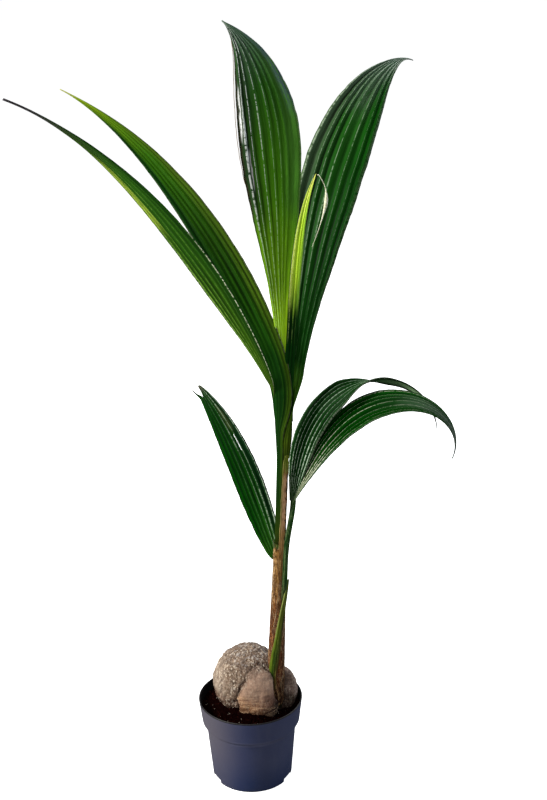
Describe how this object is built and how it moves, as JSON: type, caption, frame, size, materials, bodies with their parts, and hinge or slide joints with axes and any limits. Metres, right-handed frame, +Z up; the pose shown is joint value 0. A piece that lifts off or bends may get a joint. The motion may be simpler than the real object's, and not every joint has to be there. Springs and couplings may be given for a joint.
{
  "type": "potted coconut palm",
  "caption": "Young coconut palm sprouting from its nut in a grey nursery pot, with a leaning sheathed stem, pleated two-lobed fronds and an unopened spear leaf.",
  "frame": {"origin": "middle of the pot's flat underside, on the floor", "axes": "+Z up along the pot's axis, +X to the side that the stem leans to, -Y to the front"},
  "size_m": [0.6908, 0.5186, 1.3556],
  "materials": {
    "pot_plastic": "matte moulded, slate grey",
    "potting_mix": "rough, very dark brown",
    "husk": "rough fibrous, grey tan",
    "stem_green": "smooth, fresh green",
    "sheath_fibre": "matted brown fibre",
    "dry_leaf_base": "dry, papery tan",
    "young_leaf": "satin yellow green",
    "leaf": "satin dark green, pleated"
  },
  "bodies": {
    "root": {"pot": "pot_plastic", "soil": "potting_mix", "coconut": "husk", "stem": "stem_green", "fibre_sheath": "sheath_fibre", "dry_strip": "dry_leaf_base", "front_spike": "young_leaf", "right_stalk": "leaf", "right_far_rise": "leaf", "right_far_tip": "leaf", "right_near_rise": "leaf", "right_near_tip": "leaf", "small_left_frond": "leaf", "left_frond_near": "leaf", "spear_leaf": "young_leaf", "left_frond_far": "leaf", "top_frond_right": "leaf", "top_frond_left": "leaf"}
  },
  "joints": []
}
